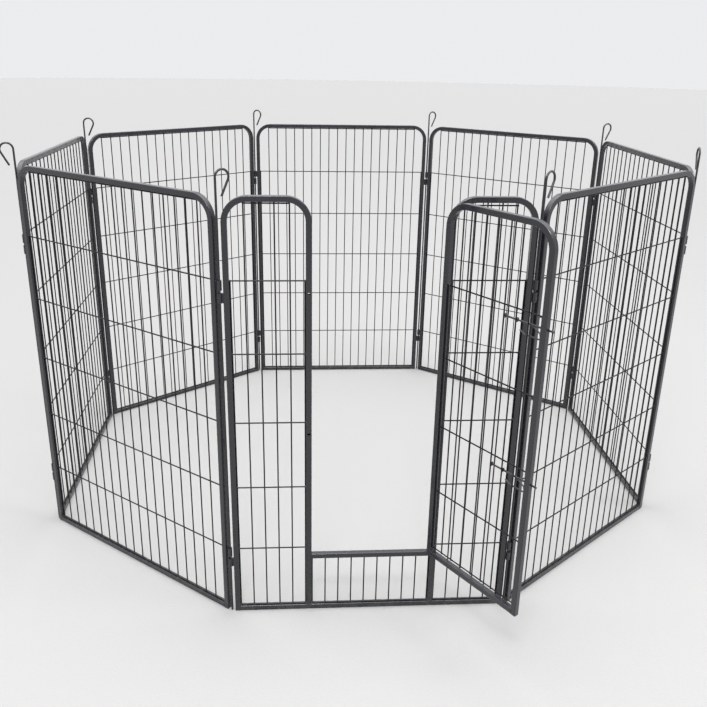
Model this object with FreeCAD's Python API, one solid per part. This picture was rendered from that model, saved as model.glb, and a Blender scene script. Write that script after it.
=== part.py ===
import FreeCAD, Part
import math
import os

# Eight-panel pet playpen, millimetres.  The pen stands as an octagon, a little wider than deep.
# Origin: middle of the underside of the gate panel's bottom rail, on the floor.
# +X runs along the gate panel to its right-hand end seen from outside, +Y into the pen, +Z up.

# ---- Driving dimensions ----
PANEL_W = 656.4          # one panel, outside its two end posts
PANEL_H = 1016.0         # floor to the top of the frame
TUBE = 12.7              # square steel tube
WALL = 1.2
TUBE_EDGE = 1.6          # outside corner radius of the tube
BEND_R = 48.0            # bent top corners, to the tube's centre line
WIRE = 3.2
WELD_SINK = 0.4          # how far crossing wires are melted into each other
PLAIN_GAPS = 19          # wire spaces across a plain panel
SECTION_GAPS = 5         # wire spaces across each side section of the gate panel
DOORWAY_GAPS = 9         # the same spacing carried across the doorway
LEVELS = 5               # horizontal wires between the top and the bottom rail
LEVEL_STEP = 165.3
LEVEL_LOW = 175.8        # height of the lowest of them
TOP_WIRE_DROP = 5.7      # end wire under the arch at the hinge side of the gate panel

CORNER_TURN = 38.0       # degrees turned at the corners of the gate and back panels
ROD = 5.0                # connecting rods
ROD_GAP = 8.0            # rod axis to the face of the end post
LUG_BORE = 5.8
LUG_OUT = 10.4
LUG_H = 22.0
LUG_WEB = 4.0
LUG_STEP = 28.0          # the two panels' lugs stack on one rod, this far apart
HOOK_R = 15.5            # crook at the top of a rod, to the wire's centre
HOOK_TOP = 53.0          # crook above the panel tops
HOOK_LEAN = 26.6         # degrees the free leg leans back towards the rod
HOOK_LEG = 36.0

SILL_Z = 145.6           # underside of the sill rail
DOOR_Z = 160.0           # underside of the door
DOOR_DROP = 4.5          # the door hangs this much lower than the panel around it
DOOR_W = 275.8
DOOR_GAPS = 8
DOOR_END_WIRE = 9.5      # end wire above the door's bottom rail
DOOR_OPEN = 124.0        # degrees the door stands open
HINGE_GAP = 7.15         # gap between the door and the hinge side of the doorway, shut
HINGE_IN = 3.55          # hinge axis from the doorway's side
HINGE_FRONT = 5.0        # hinge axis in front of the panel's middle plane
PIN = 3.0                # hinge pins
PIN_H = 13.0
PIN_LEG = 2.4            # leg that joins a pin to its post
PIN_LIFT = 2.0           # foot of a pin above the door's horizontal wire
EYE_OUT = 6.3            # hinge eyes
EYE_BORE = 3.5
EYE_H = 7.0
EYE_WEB = 2.5

BOLT = 4.0
BOLT_SIDE = 2.6          # bolt axis in front of the panel's middle plane
BOLT_DROP = 23.0         # bolt under its horizontal wire
BOLT_OUT = 12.0          # bolt tip beyond the free post, shot
BOLT_SPACES = 3          # wire spaces that the bolt reaches back over
GRIP_DROP = 24.0         # finger grip under the bolt
GRIP_LONG = 39.0
GRIP_TURN_UP = 11.0
KEEPER_R = 2.3           # hole that takes the bolt
SIGHT_R = 3.5            # front-to-back hole in the lock post

# ---- Worked out ----
UP = FreeCAD.Vector(0, 0, 1)
SIDE = PANEL_W + 2 * ROD_GAP
HALF = TUBE / 2
RAIL_TOP = TUBE
HEAD_UNDER = PANEL_H - TUBE
PITCH = (PANEL_W - 4 * TUBE - 3 * WIRE) / (2 * SECTION_GAPS + DOORWAY_GAPS)
DOORWAY = DOORWAY_GAPS * PITCH + WIRE
SECTION = SECTION_GAPS * PITCH + WIRE
LOCK_POST_X = -DOORWAY / 2 - HALF
HINGE_POST_X = DOORWAY / 2 + HALF
HINGE = FreeCAD.Vector(DOORWAY / 2 - HINGE_IN, -HINGE_FRONT, 0)
DOOR_NEAR = DOORWAY / 2 - HINGE_GAP
DOOR_FAR = DOOR_NEAR - DOOR_W
WIRE_Y = (WIRE - WELD_SINK) / 2          # uprights lie inside, horizontals outside
SHORT = 0.05                             # wires stop this far off a curved tube face

PANELS = [
    "gate",
    "front_right",
    "right",
    "back_right",
    "back",
    "back_left",
    "left",
    "front_left",
]
HEADINGS = [
    0,
    CORNER_TURN,
    90,
    180 - CORNER_TURN,
    180,
    180 + CORNER_TURN,
    270,
    360 - CORNER_TURN,
]
# Which way each rod's crook points, in degrees from +X.  Rod 1 stands at the gate's left end.
HOOK_TURNS = [35, 40, 75, 20, 30, -30, 0, 195]


def vec(x, y, z):
    return FreeCAD.Vector(x, y, z)


def level(number):
    """Height of horizontal wire 1 (top) to LEVELS (bottom)."""
    return LEVEL_LOW + LEVEL_STEP * (LEVELS - number)


def save(name, shape):
    shape.exportStep("parts/" + name + ".step")


def join(shapes):
    return shapes[0].multiFuse(shapes[1:])


# ---- Tube ----
def square_profile(at, along, size, edge):
    """Rounded square wire centred on a point, facing along a direction in the XZ plane."""
    across = vec(0, 1, 0)
    other = along.cross(across)
    half = size / 2
    flat = half - edge
    points = []
    for turn in range(4):
        angle = math.radians(90 * turn)
        right = across * math.cos(angle) + other * math.sin(angle)
        ahead = other * math.cos(angle) - across * math.sin(angle)
        start = at + right * half - ahead * flat
        end = at + right * half + ahead * flat
        corner = at + right * flat + ahead * flat
        middle = corner + (right + ahead) * (edge / math.sqrt(2))
        points.append((start, end, middle))
    edges = []
    for turn in range(4):
        start, end, middle = points[turn]
        following = points[(turn + 1) % 4][0]
        edges.append(Part.makeLine(start, end))
        edges.append(Part.Arc(end, middle, following).toShape())
    return Part.Wire(edges)


def tube(path, start, along):
    """Hollow square tube along a path in the XZ plane."""
    outer = path.makePipeShell([square_profile(start, along, TUBE, TUBE_EDGE)], True, False)
    bore = square_profile(start, along, TUBE - 2 * WALL, TUBE_EDGE - WALL)
    inner = path.makePipeShell([bore], True, False)
    return outer.cut(inner)


def arch(left, right, left_foot, right_foot, drop=0):
    """Bent frame: two posts and a top rail in one length of tube, centre lines at left and right."""
    top = PANEL_H - HALF - drop
    shoulder = top - BEND_R
    slant = BEND_R * (1 - math.sqrt(0.5))
    start = vec(left, 0, left_foot)
    edges = [
        Part.makeLine(start, vec(left, 0, shoulder)),
        Part.Arc(
            vec(left, 0, shoulder),
            vec(left + slant, 0, top - slant),
            vec(left + BEND_R, 0, top),
        ).toShape(),
        Part.makeLine(vec(left + BEND_R, 0, top), vec(right - BEND_R, 0, top)),
        Part.Arc(
            vec(right - BEND_R, 0, top),
            vec(right - slant, 0, top - slant),
            vec(right, 0, shoulder),
        ).toShape(),
        Part.makeLine(vec(right, 0, shoulder), vec(right, 0, right_foot)),
    ]
    return tube(Part.Wire(edges), start, UP)


def rail(left, right, underside):
    """Straight tube between two faces."""
    start = vec(left, 0, underside + HALF)
    path = Part.Wire([Part.makeLine(start, vec(right, 0, underside + HALF))])
    return tube(path, start, vec(1, 0, 0))


# ---- Wire ----
def bar(start, end, size):
    run = end - start
    return Part.makeCylinder(size / 2, run.Length, start, run)


def upright(x, low, high):
    return bar(vec(x, WIRE_Y, low), vec(x, WIRE_Y, high), WIRE)


def crosswire(left, right, height):
    return bar(vec(left, -WIRE_Y, height), vec(right, -WIRE_Y, height), WIRE)


def head_height(from_post):
    """Underside of an arch, this far in from the inner face of its post."""
    inner_r = BEND_R - HALF
    near = from_post - WIRE / 2
    if near >= inner_r:
        return HEAD_UNDER
    return HEAD_UNDER - inner_r + math.sqrt(inner_r ** 2 - (inner_r - near) ** 2)


def under_arch(pitch):
    """Height of an end wire laid close under an arch, clear of its bends."""
    return head_height(WIRE / 2 + pitch) - WIRE / 2 - SHORT


def wire_grid(left, right, gaps, heights, low, end_wire, drop=0):
    """Welded wires between two post faces.  The wires against the posts stop at the top level."""
    pitch = (right - left - WIRE) / gaps
    bars = []
    for count in range(gaps + 1):
        from_post = WIRE / 2 + count * pitch
        beside_post = count in (0, gaps)
        nearest = min(from_post, right - left - from_post)
        top = heights[0] if beside_post else head_height(nearest) - SHORT - drop
        bars.append(upright(left + from_post, low, top))
    for height in heights:
        bars.append(crosswire(left, right, height))
    if end_wire is not None:
        first = left + WIRE / 2 + pitch
        last = right - WIRE / 2 - pitch
        bars.append(crosswire(first - WIRE / 2, last + WIRE / 2, end_wire))
    return join(bars)


# ---- Lugs and rods ----
def lug(side, top):
    """Sleeve on a web, on the outer face of the left (-1) or right (+1) end post."""
    axis_x = side * SIDE / 2
    face_x = side * PANEL_W / 2
    foot = vec(axis_x, 0, top - LUG_H)
    sleeve = Part.makeCylinder(LUG_OUT / 2, LUG_H, foot)
    corner = vec(min(axis_x, face_x), -LUG_WEB / 2, top - LUG_H)
    web = Part.makeBox(ROD_GAP, LUG_WEB, LUG_H, corner)
    bore = Part.makeCylinder(LUG_BORE / 2, LUG_H + 2, foot - UP)
    return sleeve.fuse(web).cut(bore)


def panel_lugs():
    """Right-hand lugs level with wires 1 and LEVELS, left-hand lugs one step lower."""
    lugs = []
    for number in (1, LEVELS):
        lugs.append(lug(1, level(number) + 1))
        lugs.append(lug(-1, level(number) + 1 - LUG_STEP))
    return Part.makeCompound(lugs)


def connecting_rod(corner, turn):
    """Straight rod with a crook at the top, standing at one corner of the pen."""
    bend_z = PANEL_H + HOOK_TOP - ROD / 2 - HOOK_R
    lean = math.radians(HOOK_LEAN)
    foot = vec(0, 0, 0)
    shoulder = vec(0, 0, bend_z)
    crown = vec(HOOK_R, 0, bend_z + HOOK_R)
    leg_top = vec(HOOK_R + HOOK_R * math.cos(lean), 0, bend_z - HOOK_R * math.sin(lean))
    leg_end = leg_top + vec(-math.sin(lean), 0, -math.cos(lean)) * HOOK_LEG
    path = Part.Wire(
        [
            Part.makeLine(foot, shoulder),
            Part.Arc(shoulder, crown, leg_top).toShape(),
            Part.makeLine(leg_top, leg_end),
        ]
    )
    profile = Part.Wire([Part.makeCircle(ROD / 2, foot, UP)])
    rod = path.makePipeShell([profile], True, False)
    rod.rotate(foot, UP, turn)
    rod.translate(corner)
    return rod


# ---- Panels ----
def pen_corners():
    """Rod positions, anticlockwise from the gate panel's left end, and back to it."""
    found = [vec(-SIDE / 2, 0, 0)]
    for heading in HEADINGS:
        step = FreeCAD.Rotation(UP, heading).multVec(vec(SIDE, 0, 0))
        found.append(found[-1] + step)
    return found


def place(shape, number):
    """Move a shape from the gate panel's side of the pen to another side."""
    corners = pen_corners()
    turned = shape.copy()
    turned.rotate(vec(0, 0, 0), UP, HEADINGS[number])
    turned.translate((corners[number] + corners[number + 1]) / 2)
    return turned


def plain_panel():
    inner = PANEL_W / 2 - TUBE
    heights = [level(number) for number in range(1, LEVELS + 1)]
    heights.append(RAIL_TOP + WIRE / 2)
    end_wire = under_arch((2 * inner - WIRE) / PLAIN_GAPS)
    return {
        "frame": arch(-inner - HALF, inner + HALF, 0, 0),
        "bottom_rail": rail(-inner, inner, 0),
        "grid": wire_grid(-inner, inner, PLAIN_GAPS, heights, RAIL_TOP, end_wire),
        "lugs": panel_lugs(),
    }


def drilled_lock_post(shape):
    """The post that the door locks into: two bolt holes and the sight holes at the same heights."""
    for height in bolt_heights().values():
        keeper_at = vec(LOCK_POST_X, -BOLT_SIDE, height)
        keeper = Part.makeCylinder(KEEPER_R, TUBE, keeper_at, vec(1, 0, 0))
        sight_at = vec(LOCK_POST_X, -TUBE, height)
        sight = Part.makeCylinder(SIGHT_R, 2 * TUBE, sight_at, vec(0, 1, 0))
        shape = shape.cut(keeper).cut(sight)
    return shape


def gate_panel():
    outer = PANEL_W / 2 - HALF
    section_in = DOORWAY / 2 + TUBE
    section_out = section_in + SECTION
    heights = [level(number) for number in range(1, LEVELS + 1)]
    heights.append(RAIL_TOP + WIRE / 2)
    left_end = under_arch(PITCH)
    right_end = HEAD_UNDER - TOP_WIRE_DROP
    left_arch = arch(-outer, LOCK_POST_X, 0, RAIL_TOP)
    right_arch = arch(HINGE_POST_X, outer, RAIL_TOP, 0)
    sill_bars = [crosswire(-DOORWAY / 2, DOORWAY / 2, RAIL_TOP + WIRE / 2)]
    for count in range(DOORWAY_GAPS + 1):
        x = -DOORWAY / 2 + WIRE / 2 + count * PITCH
        sill_bars.append(upright(x, RAIL_TOP, SILL_Z))
    return {
        "left_arch": drilled_lock_post(left_arch),
        "right_arch": right_arch,
        "bottom_rail": rail(-section_out, section_out, 0),
        "sill_rail": rail(-DOORWAY / 2, DOORWAY / 2, SILL_Z),
        "left_grid": wire_grid(-section_out, -section_in, SECTION_GAPS, heights, RAIL_TOP, left_end),
        "right_grid": wire_grid(section_in, section_out, SECTION_GAPS, heights, RAIL_TOP, right_end),
        "hinge_pins": Part.makeCompound([hinge_pin(z, right_arch) for z in door_heights()]),
        "sill_wires": join(sill_bars),
        "lugs": panel_lugs(),
    }


# ---- Door, built shut and then swung open ----
def door_heights():
    """Horizontal wires of the door; the last is the end wire over its bottom rail."""
    heights = [level(number) - DOOR_DROP for number in range(1, LEVELS)]
    heights.append(DOOR_Z + TUBE + DOOR_END_WIRE)
    return heights


def hinge_pin(height, post):
    """Pin standing on a short leg from the side of the gate's hinge post."""
    foot = HINGE + UP * (height + PIN_LIFT)
    pin = Part.makeCylinder(PIN / 2, PIN_H, foot)
    leg = bar(foot + UP * (PIN / 2), foot + vec(HINGE_IN + 1, 0, PIN / 2), PIN_LEG)
    return pin.fuse(leg).cut(post)


def hinge_eye(height, post):
    """Eye on the door that drops over a pin, just above the pin's leg."""
    foot = HINGE + UP * (height + PIN_LIFT + PIN + 0.4)
    bore = Part.makeCylinder(EYE_BORE / 2, EYE_H + 2, foot - UP)
    corner = vec(DOOR_NEAR - 1, -HINGE_FRONT - EYE_WEB / 2, foot.z)
    web = Part.makeBox(HINGE.x - corner.x, EYE_WEB, EYE_H, corner)
    return Part.makeCylinder(EYE_OUT / 2, EYE_H, foot).fuse(web).cut(bore).cut(post)


def bolt_heights():
    return {"upper": door_heights()[0] - BOLT_DROP, "lower": door_heights()[2] - BOLT_DROP}


def latch_guide(x, height):
    """Eye round the bolt, welded to an upright of the door."""
    return Part.makeTorus(BOLT / 2 + 1.7, 1.2, vec(x, -BOLT_SIDE, height), vec(1, 0, 0))


def door_leaf():
    right = DOOR_NEAR - TUBE
    left = DOOR_FAR + TUBE
    pitch = (right - left - WIRE) / DOOR_GAPS
    heights = door_heights()
    frame = arch(left - HALF, right + HALF, DOOR_Z, DOOR_Z, DOOR_DROP)
    for height in bolt_heights().values():
        start = vec(DOOR_FAR - 1, -BOLT_SIDE, height)
        frame = frame.cut(Part.makeCylinder(KEEPER_R, TUBE + 2, start, vec(1, 0, 0)))
    grid = wire_grid(left, right, DOOR_GAPS, heights, heights[-1], None, DOOR_DROP)
    hinge_eyes = Part.makeCompound([hinge_eye(height, frame) for height in heights])
    eyes = []
    for height in bolt_heights().values():
        for spaces in (BOLT_SPACES, BOLT_SPACES - 1):
            x = left + WIRE / 2 + spaces * pitch
            eyes.append(latch_guide(x, height).cut(grid))
    return {
        "door_frame": frame,
        "door_bottom_rail": rail(left, right, DOOR_Z),
        "door_grid": grid,
        "door_hinge_eyes": hinge_eyes,
        "door_latch_eyes": Part.makeCompound(eyes),
    }


def latch_bolt(height):
    """Sliding wire bolt with a bent finger grip under it."""
    post_in = DOOR_FAR + TUBE
    pitch = (DOOR_W - 2 * TUBE - WIRE) / DOOR_GAPS
    tail = post_in + WIRE + BOLT_SPACES * pitch
    grip_x = post_in + BOLT
    points = [
        vec(grip_x + 25, 0, 0),
        vec(grip_x + 2, 0, -GRIP_DROP / 2),
        vec(grip_x, 0, -GRIP_DROP),
        vec(grip_x + GRIP_LONG, 0, -GRIP_DROP),
        vec(grip_x + GRIP_LONG + GRIP_TURN_UP, 0, -GRIP_DROP + GRIP_TURN_UP / 2),
    ]
    at = vec(0, -BOLT_SIDE, height)
    pieces = [bar(vec(DOOR_FAR - BOLT_OUT, 0, 0) + at, vec(tail, 0, 0) + at, BOLT)]
    for start, end in zip(points, points[1:]):
        pieces.append(bar(start + at, end + at, WIRE))
    for point in points[1:]:
        pieces.append(Part.makeSphere(WIRE / 2, point + at))
    return join(pieces)


def swing(shape):
    opened = shape.copy()
    opened.rotate(HINGE, UP, DOOR_OPEN)
    return opened


# ---- Build ----
def main():
    os.makedirs("parts", exist_ok=True)
    for name, shape in gate_panel().items():
        save("gate_" + name, shape)
    plain = plain_panel()
    for number, panel in enumerate(PANELS):
        if number > 0:
            for name, shape in plain.items():
                save(panel + "_" + name, place(shape, number))
    for name, shape in door_leaf().items():
        save(name, swing(shape))
    for name, height in bolt_heights().items():
        save("latch_bolt_" + name, swing(latch_bolt(height)))
    corners = pen_corners()
    for count, turn in enumerate(HOOK_TURNS):
        save("connecting_rod_" + str(count + 1), connecting_rod(corners[count], turn))


main()
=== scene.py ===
import math

import bmesh
import bpy
from mathutils import Matrix, Vector, noise


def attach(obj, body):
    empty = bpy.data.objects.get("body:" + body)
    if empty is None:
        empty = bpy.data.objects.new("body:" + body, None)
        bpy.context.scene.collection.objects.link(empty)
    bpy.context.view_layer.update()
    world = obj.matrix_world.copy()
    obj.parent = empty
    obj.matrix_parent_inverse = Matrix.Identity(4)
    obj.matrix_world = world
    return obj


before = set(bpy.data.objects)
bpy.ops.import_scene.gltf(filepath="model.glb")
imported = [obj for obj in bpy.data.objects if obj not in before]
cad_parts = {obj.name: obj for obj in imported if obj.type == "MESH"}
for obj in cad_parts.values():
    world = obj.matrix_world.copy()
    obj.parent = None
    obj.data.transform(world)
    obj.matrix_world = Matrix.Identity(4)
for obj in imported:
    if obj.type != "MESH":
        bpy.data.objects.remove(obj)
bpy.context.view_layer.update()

# ---- The pen's dimensions, as in the CAD source, in metres ----
PANEL_W = 0.6564
PANEL_H = 1.016
TUBE = 0.0127
HALF = TUBE / 2
BEND_R = 0.048
WIRE = 0.0032
WELD_SINK = 0.0004
WIRE_Y = (WIRE - WELD_SINK) / 2
PLAIN_GAPS = 19
SECTION_GAPS = 5
DOORWAY_GAPS = 9
LEVELS = 5
LEVEL_STEP = 0.1653
LEVEL_LOW = 0.1758
TOP_WIRE_DROP = 0.0057
ROD = 0.005
ROD_GAP = 0.008
LUG_H = 0.022
LUG_WEB = 0.004
LUG_STEP = 0.028
LUG_RISE = 0.001
CORNER_TURN = 38
SILL_Z = 0.1456
DOOR_Z = 0.16
DOOR_DROP = 0.0045
DOOR_W = 0.2758
DOOR_GAPS = 8
DOOR_END_WIRE = 0.0095
DOOR_OPEN = 124
HINGE_GAP = 0.00715
HINGE_IN = 0.00355
HINGE_FRONT = 0.005
PIN = 0.003
PIN_LIFT = 0.002
EYE_H = 0.007
EYE_CLEAR = 0.0004
EYE_SEAM = 0.0014
EYE_SEAM_MIDDLE = 0.0006
BOLT = 0.004
BOLT_SIDE = 0.0026
BOLT_DROP = 0.023
BOLT_SPACES = 3
EYE_R = BOLT / 2 + 0.0017

# ---- Weld metal, in metres: half sizes of spots, and radii and places of beads ----
CROSS_SPOT = (0.0021, 0.0011, 0.0021)
WIRE_END_SPOT = (0.0025, 0.0025, 0.0013)
CROSSWIRE_END_SPOT = (0.0014, 0.0026, 0.0026)
PIN_SPOT = (0.0012, 0.0021, 0.0018)
PIN_SPOT_DROP = 0.0003
BOLT_EYE_SPOT = (0.002, 0.0011, 0.0028)
BEAD = 0.0012
RAIL_BEAD = 0.00125
LUG_BEAD = 0.0011
EYE_BEAD = 0.0008
BEAD_SUNK = 0.0004
BEAD_SHORT = 0.0012
ACROSS_SHORT = 0.0015
FOOT_SHORT = 0.001

SIDE = PANEL_W + 2 * ROD_GAP
HEAD_UNDER = PANEL_H - TUBE
PITCH = (PANEL_W - 4 * TUBE - 3 * WIRE) / (2 * SECTION_GAPS + DOORWAY_GAPS)
DOORWAY = DOORWAY_GAPS * PITCH + WIRE
SECTION = SECTION_GAPS * PITCH + WIRE
INNER_POST_X = DOORWAY / 2 + HALF
HINGE = Vector((DOORWAY / 2 - HINGE_IN, -HINGE_FRONT, 0))
DOOR_NEAR = DOORWAY / 2 - HINGE_GAP
DOOR_FAR = DOOR_NEAR - DOOR_W
PLAIN_BODIES = [
    "front_right",
    "right",
    "back_right",
    "back",
    "back_left",
    "left",
    "front_left",
]
HEADINGS = [
    CORNER_TURN,
    90,
    180 - CORNER_TURN,
    180,
    180 + CORNER_TURN,
    270,
    360 - CORNER_TURN,
]


def level(number):
    """Height of a horizontal wire, number 1 being the highest."""
    return LEVEL_LOW + LEVEL_STEP * (LEVELS - number)


def under_arch(pitch):
    """Height of an end wire laid close under an arch, clear of its bends."""
    inner_r = BEND_R - HALF
    short_of = max(0.0, inner_r - pitch)
    drop = inner_r - math.sqrt(inner_r**2 - short_of**2)
    return HEAD_UNDER - drop - WIRE / 2


def door_heights():
    heights = [level(number) - DOOR_DROP for number in range(1, LEVELS)]
    heights.append(DOOR_Z + TUBE + DOOR_END_WIRE)
    return heights


# ---- Materials ----
class Nodes:
    """A material's node tree, with short calls to add to it."""

    def __init__(self, name):
        self.material = bpy.data.materials.new(name)
        self.material.use_nodes = True
        self.tree = self.material.node_tree
        self.shader = self.tree.nodes["Principled BSDF"]
        self.place = self.add("ShaderNodeTexCoord").outputs["Object"]

    def add(self, kind, **settings):
        node = self.tree.nodes.new(kind)
        for key, value in settings.items():
            setattr(node, key, value)
        return node

    def link(self, source, target):
        self.tree.links.new(source, target)

    def noise(self, scale, detail, roughness=0.5):
        node = self.add("ShaderNodeTexNoise")
        node.inputs["Scale"].default_value = scale
        node.inputs["Detail"].default_value = detail
        node.inputs["Roughness"].default_value = roughness
        self.link(self.place, node.inputs["Vector"])
        return node.outputs["Fac"]

    def spread(self, source, low, high, to_low=0.0, to_high=1.0):
        node = self.add("ShaderNodeMapRange")
        for index, value in enumerate((low, high, to_low, to_high), start=1):
            node.inputs[index].default_value = value
        self.link(source, node.inputs["Value"])
        return node.outputs["Result"]

    def mix(self, factor, first, second):
        """Mix of two colours, each a tuple or a socket."""
        node = self.add("ShaderNodeMix", data_type="RGBA")
        self.link(factor, node.inputs["Factor"])
        for name, colour in (("A", first), ("B", second)):
            socket = next(i for i in node.inputs if i.name == name and i.type == "RGBA")
            if isinstance(colour, tuple):
                socket.default_value = (*colour, 1)
            else:
                self.link(colour, socket)
        return next(o for o in node.outputs if o.type == "RGBA")

    def times(self, first, second):
        node = self.add("ShaderNodeMath", operation="MULTIPLY")
        for index, value in enumerate((first, second)):
            if isinstance(value, float):
                node.inputs[index].default_value = value
            else:
                self.link(value, node.inputs[index])
        return node.outputs[0]

    def bump(self, heights):
        """Chain of bumps from (height socket, distance in metres, strength)."""
        normal = None
        for height, distance, strength in heights:
            node = self.add("ShaderNodeBump")
            node.inputs["Strength"].default_value = strength
            node.inputs["Distance"].default_value = distance
            self.link(height, node.inputs["Height"])
            if normal is not None:
                self.link(normal, node.inputs["Normal"])
            normal = node.outputs["Normal"]
        self.link(normal, self.shader.inputs["Normal"])


def powder_coat(name, base, light, gloss, shine, peel_scale, peel_depth):
    """Satin powder coat: orange peel, faint mottling, and floor dust near the bottom.

    The colour runs from base to light, gloss is the roughness and shine the strength of
    both reflecting layers.
    """
    made = Nodes(name)
    mottle = made.spread(made.noise(900, 3), 0.35, 0.7)
    cloud = made.spread(made.noise(7, 3), 0.3, 0.7)
    colour = made.mix(made.times(mottle, 0.55), base, light)
    colour = made.mix(made.times(cloud, 0.25), colour, light)
    height = made.add("ShaderNodeSeparateXYZ")
    made.link(made.place, height.inputs["Vector"])
    low_down = made.spread(height.outputs["Z"], 0.0, 0.09, 1.0, 0.0)
    dust_patch = made.spread(made.noise(60, 4, 0.6), 0.45, 0.75)
    dust = made.times(made.times(low_down, dust_patch), 0.12)
    colour = made.mix(dust, colour, (0.26, 0.245, 0.22))
    made.link(colour, made.shader.inputs["Base Color"])
    rough = made.spread(made.noise(140, 3), 0.3, 0.7, gloss - 0.05, gloss + 0.07)
    made.link(rough, made.shader.inputs["Roughness"])
    made.shader.inputs["Specular IOR Level"].default_value = shine
    made.shader.inputs["Coat Weight"].default_value = shine
    made.shader.inputs["Coat Roughness"].default_value = 0.06
    made.bump([(made.noise(peel_scale, 2), peel_depth, 0.5), (mottle, 0.00002, 0.3)])
    return made.material


frame_paint = powder_coat(
    "frame_powder_coat",
    base=(0.0063, 0.0067, 0.0096),
    light=(0.0158, 0.0165, 0.0215),
    gloss=0.25,
    shine=0.42,
    peel_scale=700,
    peel_depth=0.00006,
)
wire_paint = powder_coat(
    "wire_powder_coat",
    base=(0.0018, 0.0018, 0.0022),
    light=(0.005, 0.005, 0.006),
    gloss=0.34,
    shine=0.16,
    peel_scale=900,
    peel_depth=0.00004,
)
weld_paint = powder_coat(
    "weld_powder_coat",
    base=(0.0055, 0.0058, 0.0085),
    light=(0.014, 0.0146, 0.019),
    gloss=0.28,
    shine=0.36,
    peel_scale=1100,
    peel_depth=0.0001,
)


def rod_enamel():
    """Dipped black paint over drawn wire, with thin sliding scuffs."""
    made = Nodes("rod_enamel")
    cloud = made.spread(made.noise(25, 3), 0.3, 0.7)
    colour = made.mix(made.times(cloud, 0.6), (0.005, 0.005, 0.0058), (0.011, 0.011, 0.0125))
    scuff = made.spread(made.noise(420, 5, 0.65), 0.66, 0.74)
    colour = made.mix(made.times(scuff, 0.45), colour, (0.1, 0.1, 0.1))
    made.link(colour, made.shader.inputs["Base Color"])
    rough = made.spread(made.noise(200, 3), 0.3, 0.7, 0.3, 0.42)
    made.link(rough, made.shader.inputs["Roughness"])
    made.shader.inputs["Coat Weight"].default_value = 0.3
    made.shader.inputs["Coat Roughness"].default_value = 0.15
    made.bump([(made.noise(600, 2), 0.00004, 0.4)])
    return made.material


rod_paint = rod_enamel()


def paint_for(node):
    if node.startswith("connecting_rod") or node.startswith("latch_bolt"):
        return rod_paint
    if any(word in node for word in ("grid", "wires", "eyes", "pins")):
        return wire_paint
    return frame_paint


for node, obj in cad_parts.items():
    for held in obj.material_slots:
        held.material = paint_for(node)


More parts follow.
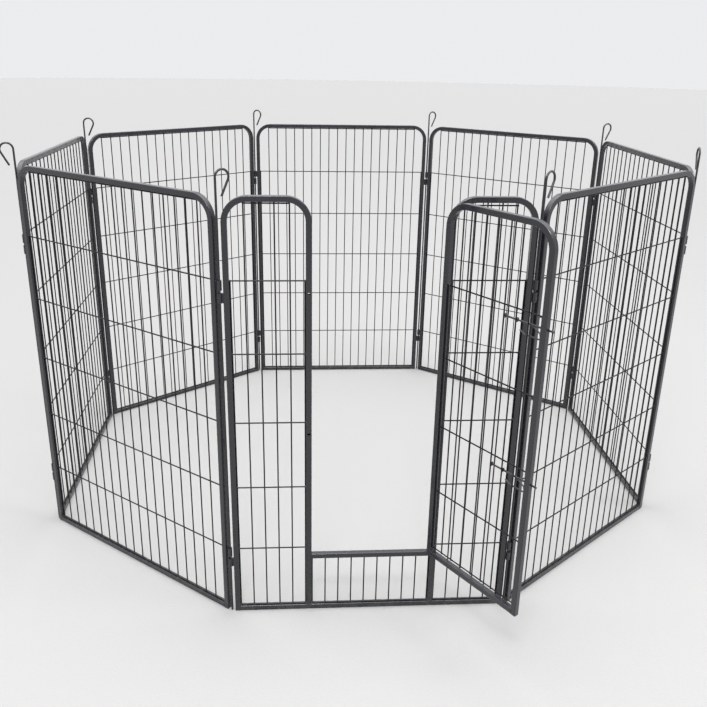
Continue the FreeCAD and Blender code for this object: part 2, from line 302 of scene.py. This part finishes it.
# ---- Weld detail, built in the gate panel's own place and then swung to each panel ----
class Welds:
    """Weld metal on one body, gathered in one mesh."""

    def __init__(self):
        self.mesh = bmesh.new()

    def blob(self, at, size):
        """Small melted nugget, a little uneven."""
        made = bmesh.ops.create_icosphere(self.mesh, subdivisions=2, radius=1)
        for vert in made["verts"]:
            rough = 1 + 0.12 * noise.noise(vert.co * 1.7 + Vector(at) * 97)
            vert.co = Vector(at) + Vector(c * s * rough for c, s in zip(vert.co, size))

    def bead(self, start, end, radius):
        """Run of weld along a seam: a rippled sausage with round ends."""
        start, end = Vector(start), Vector(end)
        run = end - start
        along = run.normalized()
        side = along.orthogonal().normalized()
        other = along.cross(side)
        ripples = max(3, round(run.length / (radius * 1.1)))
        steps = ripples * 4
        around = 10
        rings = []
        for step in range(steps + 1):
            share = step / steps
            swell = 1 + 0.16 * math.cos(share * ripples * 2 * math.pi)
            from_end = min(share, 1 - share) * run.length
            cap = min(1.0, from_end / radius)
            wide = radius * swell * math.sqrt(max(0.04, 1 - (1 - cap) ** 2))
            drift = 0.18 * radius * noise.noise((start + run * share) * 900)
            ring = []
            for turn in range(around):
                angle = 2 * math.pi * turn / around
                out = (side * math.cos(angle) + other * math.sin(angle)) * wide
                ring.append(self.mesh.verts.new(start + run * share + out + side * drift))
            rings.append(ring)
        for first, second in zip(rings, rings[1:]):
            for turn in range(around):
                after = (turn + 1) % around
                self.mesh.faces.new((first[turn], first[after], second[after], second[turn]))
        self.mesh.faces.new(list(reversed(rings[0])))
        self.mesh.faces.new(rings[-1])

    def grid(self, left, right, gaps, heights, low, end_wire):
        """Spot welds where wires cross, and fillets where their ends meet the tube."""
        pitch = (right - left - WIRE) / gaps
        for count in range(gaps + 1):
            x = left + WIRE / 2 + count * pitch
            inside = 0 < count < gaps
            for height in heights:
                self.blob((x, 0, height), CROSS_SPOT)
            if inside and end_wire is not None:
                self.blob((x, 0, end_wire), CROSS_SPOT)
            if low is not None:
                self.blob((x, WIRE_Y, low), WIRE_END_SPOT)
            near = min(x - left, right - x)
            if inside and near > BEND_R - HALF:
                self.blob((x, WIRE_Y, HEAD_UNDER), WIRE_END_SPOT)
        for height in heights:
            for x in (left, right):
                self.blob((x, -WIRE_Y, height), CROSSWIRE_END_SPOT)

    def bead_across(self, x, z):
        """Weld along the seam between a rail and a post, from the front to the back."""
        reach = HALF - ACROSS_SHORT
        self.bead((x, -reach, z), (x, reach, z), BEAD)

    def rail_end(self, x, underside):
        """Welds round the end of a rail that butts on a post."""
        low = underside + BEAD_SHORT
        high = underside + TUBE - BEAD_SHORT
        for y in (-HALF + BEAD_SUNK, HALF - BEAD_SUNK):
            self.bead((x, y, low), (x, y, high), RAIL_BEAD)
        self.bead_across(x, underside + TUBE)

    def post_foot(self, x, z):
        """Welds round an inner post that stands on a rail."""
        reach = HALF - FOOT_SHORT
        for y in (-HALF + BEAD_SUNK, HALF - BEAD_SUNK):
            self.bead((x - reach, y, z), (x + reach, y, z), BEAD)
        for side in (-1, 1):
            self.bead_across(x + side * HALF, z)

    def lugs(self):
        """Welds down both sides of each lug's web."""
        for number in (1, LEVELS):
            right_top = level(number) + LUG_RISE
            for side, top in ((1, right_top), (-1, right_top - LUG_STEP)):
                x = side * PANEL_W / 2
                low = top - LUG_H + BEAD_SHORT
                for y in (-LUG_WEB / 2, LUG_WEB / 2):
                    self.bead((x, y, low), (x, y, top - BEAD_SHORT), LUG_BEAD)

    def finish(self, name, body, place):
        """Make the mesh an object that rides the body."""
        self.mesh.transform(place)
        bmesh.ops.recalc_face_normals(self.mesh, faces=self.mesh.faces)
        data = bpy.data.meshes.new(name)
        self.mesh.to_mesh(data)
        self.mesh.free()
        for face in data.polygons:
            face.use_smooth = True
        data.materials.append(weld_paint)
        obj = bpy.data.objects.new(name, data)
        bpy.context.scene.collection.objects.link(obj)
        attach(obj, body)


def plain_heights():
    """Heights of the crosswires: the levels, and one lying on the bottom rail."""
    return [level(number) for number in range(1, LEVELS + 1)] + [TUBE + WIRE / 2]


def plain_welds():
    """Welds of a plain panel."""
    made = Welds()
    inner = PANEL_W / 2 - TUBE
    end_wire = under_arch((2 * inner - WIRE) / PLAIN_GAPS)
    made.grid(-inner, inner, PLAIN_GAPS, plain_heights(), TUBE, end_wire)
    made.rail_end(-inner, 0)
    made.rail_end(inner, 0)
    made.lugs()
    return made


def panel_place(number):
    """Where panel number 1 to 7 stands, from the gate panel's own place."""
    at = Vector((-SIDE / 2, 0, 0))
    step = Vector((SIDE, 0, 0))
    for heading in [0] + HEADINGS[: number - 1]:
        at = at + Matrix.Rotation(math.radians(heading), 3, "Z") @ step
    turn = Matrix.Rotation(math.radians(HEADINGS[number - 1]), 4, "Z")
    middle = at + turn.to_3x3() @ step / 2
    return Matrix.Translation(middle) @ turn


def gate_welds():
    """Welds of the gate panel: two sections, the sill and the hinge pins."""
    made = Welds()
    section_in = DOORWAY / 2 + TUBE
    section_out = section_in + SECTION
    end_wires = (under_arch(PITCH), HEAD_UNDER - TOP_WIRE_DROP)
    for left, end_wire in zip((-section_out, section_in), end_wires):
        made.grid(left, left + SECTION, SECTION_GAPS, plain_heights(), TUBE, end_wire)
    for x in (-section_out, section_out):
        made.rail_end(x, 0)
    for x in (-INNER_POST_X, INNER_POST_X):
        made.post_foot(x, TUBE)
    for x in (-DOORWAY / 2, DOORWAY / 2):
        made.rail_end(x, SILL_Z)
        made.bead_across(x, SILL_Z)
        made.blob((x, -WIRE_Y, TUBE + WIRE / 2), CROSSWIRE_END_SPOT)
    for count in range(DOORWAY_GAPS + 1):
        x = -DOORWAY / 2 + WIRE / 2 + count * PITCH
        made.blob((x, 0, TUBE + WIRE / 2), CROSS_SPOT)
        made.blob((x, WIRE_Y, TUBE), WIRE_END_SPOT)
        made.blob((x, WIRE_Y, SILL_Z), WIRE_END_SPOT)
    for height in door_heights():
        leg = height + PIN_LIFT + PIN / 2
        made.blob((DOORWAY / 2, -HINGE_FRONT + BEAD_SUNK, leg - PIN_SPOT_DROP), PIN_SPOT)
    made.lugs()
    return made


def door_welds():
    """Welds of the door, as it stands when shut."""
    made = Welds()
    right = DOOR_NEAR - TUBE
    left = DOOR_FAR + TUBE
    pitch = (right - left - WIRE) / DOOR_GAPS
    heights = door_heights()
    made.grid(left, right, DOOR_GAPS, heights, None, None)
    made.rail_end(left, DOOR_Z)
    made.rail_end(right, DOOR_Z)
    run = Vector((0, 0, EYE_H - 2 * FOOT_SHORT))
    for height in heights:
        foot = height + PIN_LIFT + PIN + EYE_CLEAR
        for y in (-EYE_SEAM, EYE_SEAM):
            at = Vector((DOOR_NEAR, -HINGE_FRONT + EYE_SEAM_MIDDLE + y, foot + FOOT_SHORT))
            made.bead(at, at + run, EYE_BEAD)
    for height in (heights[0], heights[2]):
        for spaces in (BOLT_SPACES, BOLT_SPACES - 1):
            x = left + WIRE / 2 + spaces * pitch
            at = (x, -BOLT_SIDE + EYE_R - BEAD_SUNK, height - BOLT_DROP)
            made.blob(at, BOLT_EYE_SPOT)
    return made


for number, body in enumerate(PLAIN_BODIES, start=1):
    plain_welds().finish(body + "_welds", body + "_panel", panel_place(number))
gate_welds().finish("gate_welds", "gate_panel", Matrix.Identity(4))
hinge = Matrix.Translation(HINGE)
swing = hinge @ Matrix.Rotation(math.radians(DOOR_OPEN), 4, "Z") @ hinge.inverted()
door_welds().finish("door_welds", "door", swing)


# ---- Floor, light and camera ----
HORIZON_GLOW = 0.86
OVERHEAD_GLOW = 4.2
GLOW_STARTS = 0.5
GLOW_FULL = 0.95
PALE_LOW = (0.291, 0.287, 0.281)
PALE_HIGH = (0.321, 0.317, 0.31)
PALE_CLOUD = (0.304, 0.299, 0.293)


def floor():
    made = Nodes("pale_floor")
    grain = made.spread(made.noise(260, 4, 0.6), 0.3, 0.7)
    cloud = made.spread(made.noise(1.6, 4, 0.6), 0.3, 0.7)
    colour = made.mix(grain, PALE_LOW, PALE_HIGH)
    colour = made.mix(made.times(cloud, 0.5), colour, PALE_CLOUD)
    made.link(colour, made.shader.inputs["Base Color"])
    made.shader.inputs["Roughness"].default_value = 0.8
    made.bump([(grain, 0.0004, 0.3)])
    mesh = bmesh.new()
    bmesh.ops.create_circle(mesh, cap_ends=True, radius=30, segments=96)
    data = bpy.data.meshes.new("floor")
    mesh.to_mesh(data)
    mesh.free()
    data.materials.append(made.material)
    obj = bpy.data.objects.new("floor", data)
    obj.location = (0, 0.77, -0.0003)
    bpy.context.scene.collection.objects.link(obj)


def area_light(name, at, aim, size, power, colour):
    data = bpy.data.lights.new(name, "AREA")
    data.shape = "RECTANGLE"
    data.size, data.size_y = size
    data.energy = power
    data.color = colour
    obj = bpy.data.objects.new(name, data)
    obj.location = at
    obj.rotation_euler = (Vector(aim) - Vector(at)).to_track_quat("-Z", "Y").to_euler()
    bpy.context.scene.collection.objects.link(obj)


def surroundings():
    """Pale all round and brighter overhead, like a room with a wide soft box above."""
    world = bpy.data.worlds.new("studio")
    world.use_nodes = True
    tree = world.node_tree
    background = tree.nodes["Background"]
    place = tree.nodes.new("ShaderNodeTexCoord")
    split = tree.nodes.new("ShaderNodeSeparateXYZ")
    rise = tree.nodes.new("ShaderNodeMapRange")
    span = (GLOW_STARTS, GLOW_FULL, HORIZON_GLOW, OVERHEAD_GLOW)
    for index, value in enumerate(span, start=1):
        rise.inputs[index].default_value = value
    tree.links.new(place.outputs["Generated"], split.inputs["Vector"])
    tree.links.new(split.outputs["Z"], rise.inputs["Value"])
    tree.links.new(rise.outputs["Result"], background.inputs["Strength"])
    background.inputs["Color"].default_value = (0.97, 0.98, 1.0, 1)
    bpy.context.scene.world = world


floor()
surroundings()
area_light(
    "key",
    at=(2.6, -0.4, 3.6),
    aim=(0.2, 0.7, 0.6),
    size=(0.9, 0.9),
    power=35,
    colour=(1, 0.99, 0.97),
)
area_light(
    "front",
    at=(-0.4, -2.1, 3.3),
    aim=(0.1, 0.3, 0.8),
    size=(0.9, 0.6),
    power=65,
    colour=(0.96, 0.98, 1),
)

CAMERA_AT = (-0.1720, -1.5758, 1.3027)
CAMERA_YAW = -3.749
CAMERA_DOWN = 19.887
CAMERA_ROLL = 0.974
CAMERA_LENS = 39.73
CAMERA_SHIFT = (0.0103, -0.0366)
turn = (
    Matrix.Rotation(math.radians(CAMERA_YAW), 4, "Z")
    @ Matrix.Rotation(math.radians(90 - CAMERA_DOWN), 4, "X")
    @ Matrix.Rotation(math.radians(CAMERA_ROLL), 4, "Z")
)
lens = bpy.data.cameras.new("camera")
lens.lens = CAMERA_LENS
lens.sensor_width = 36
lens.shift_x, lens.shift_y = CAMERA_SHIFT
camera = bpy.data.objects.new("camera", lens)
camera.matrix_world = Matrix.Translation(CAMERA_AT) @ turn
bpy.context.scene.collection.objects.link(camera)
bpy.context.scene.camera = camera
bpy.context.scene.view_settings.view_transform = "Standard"
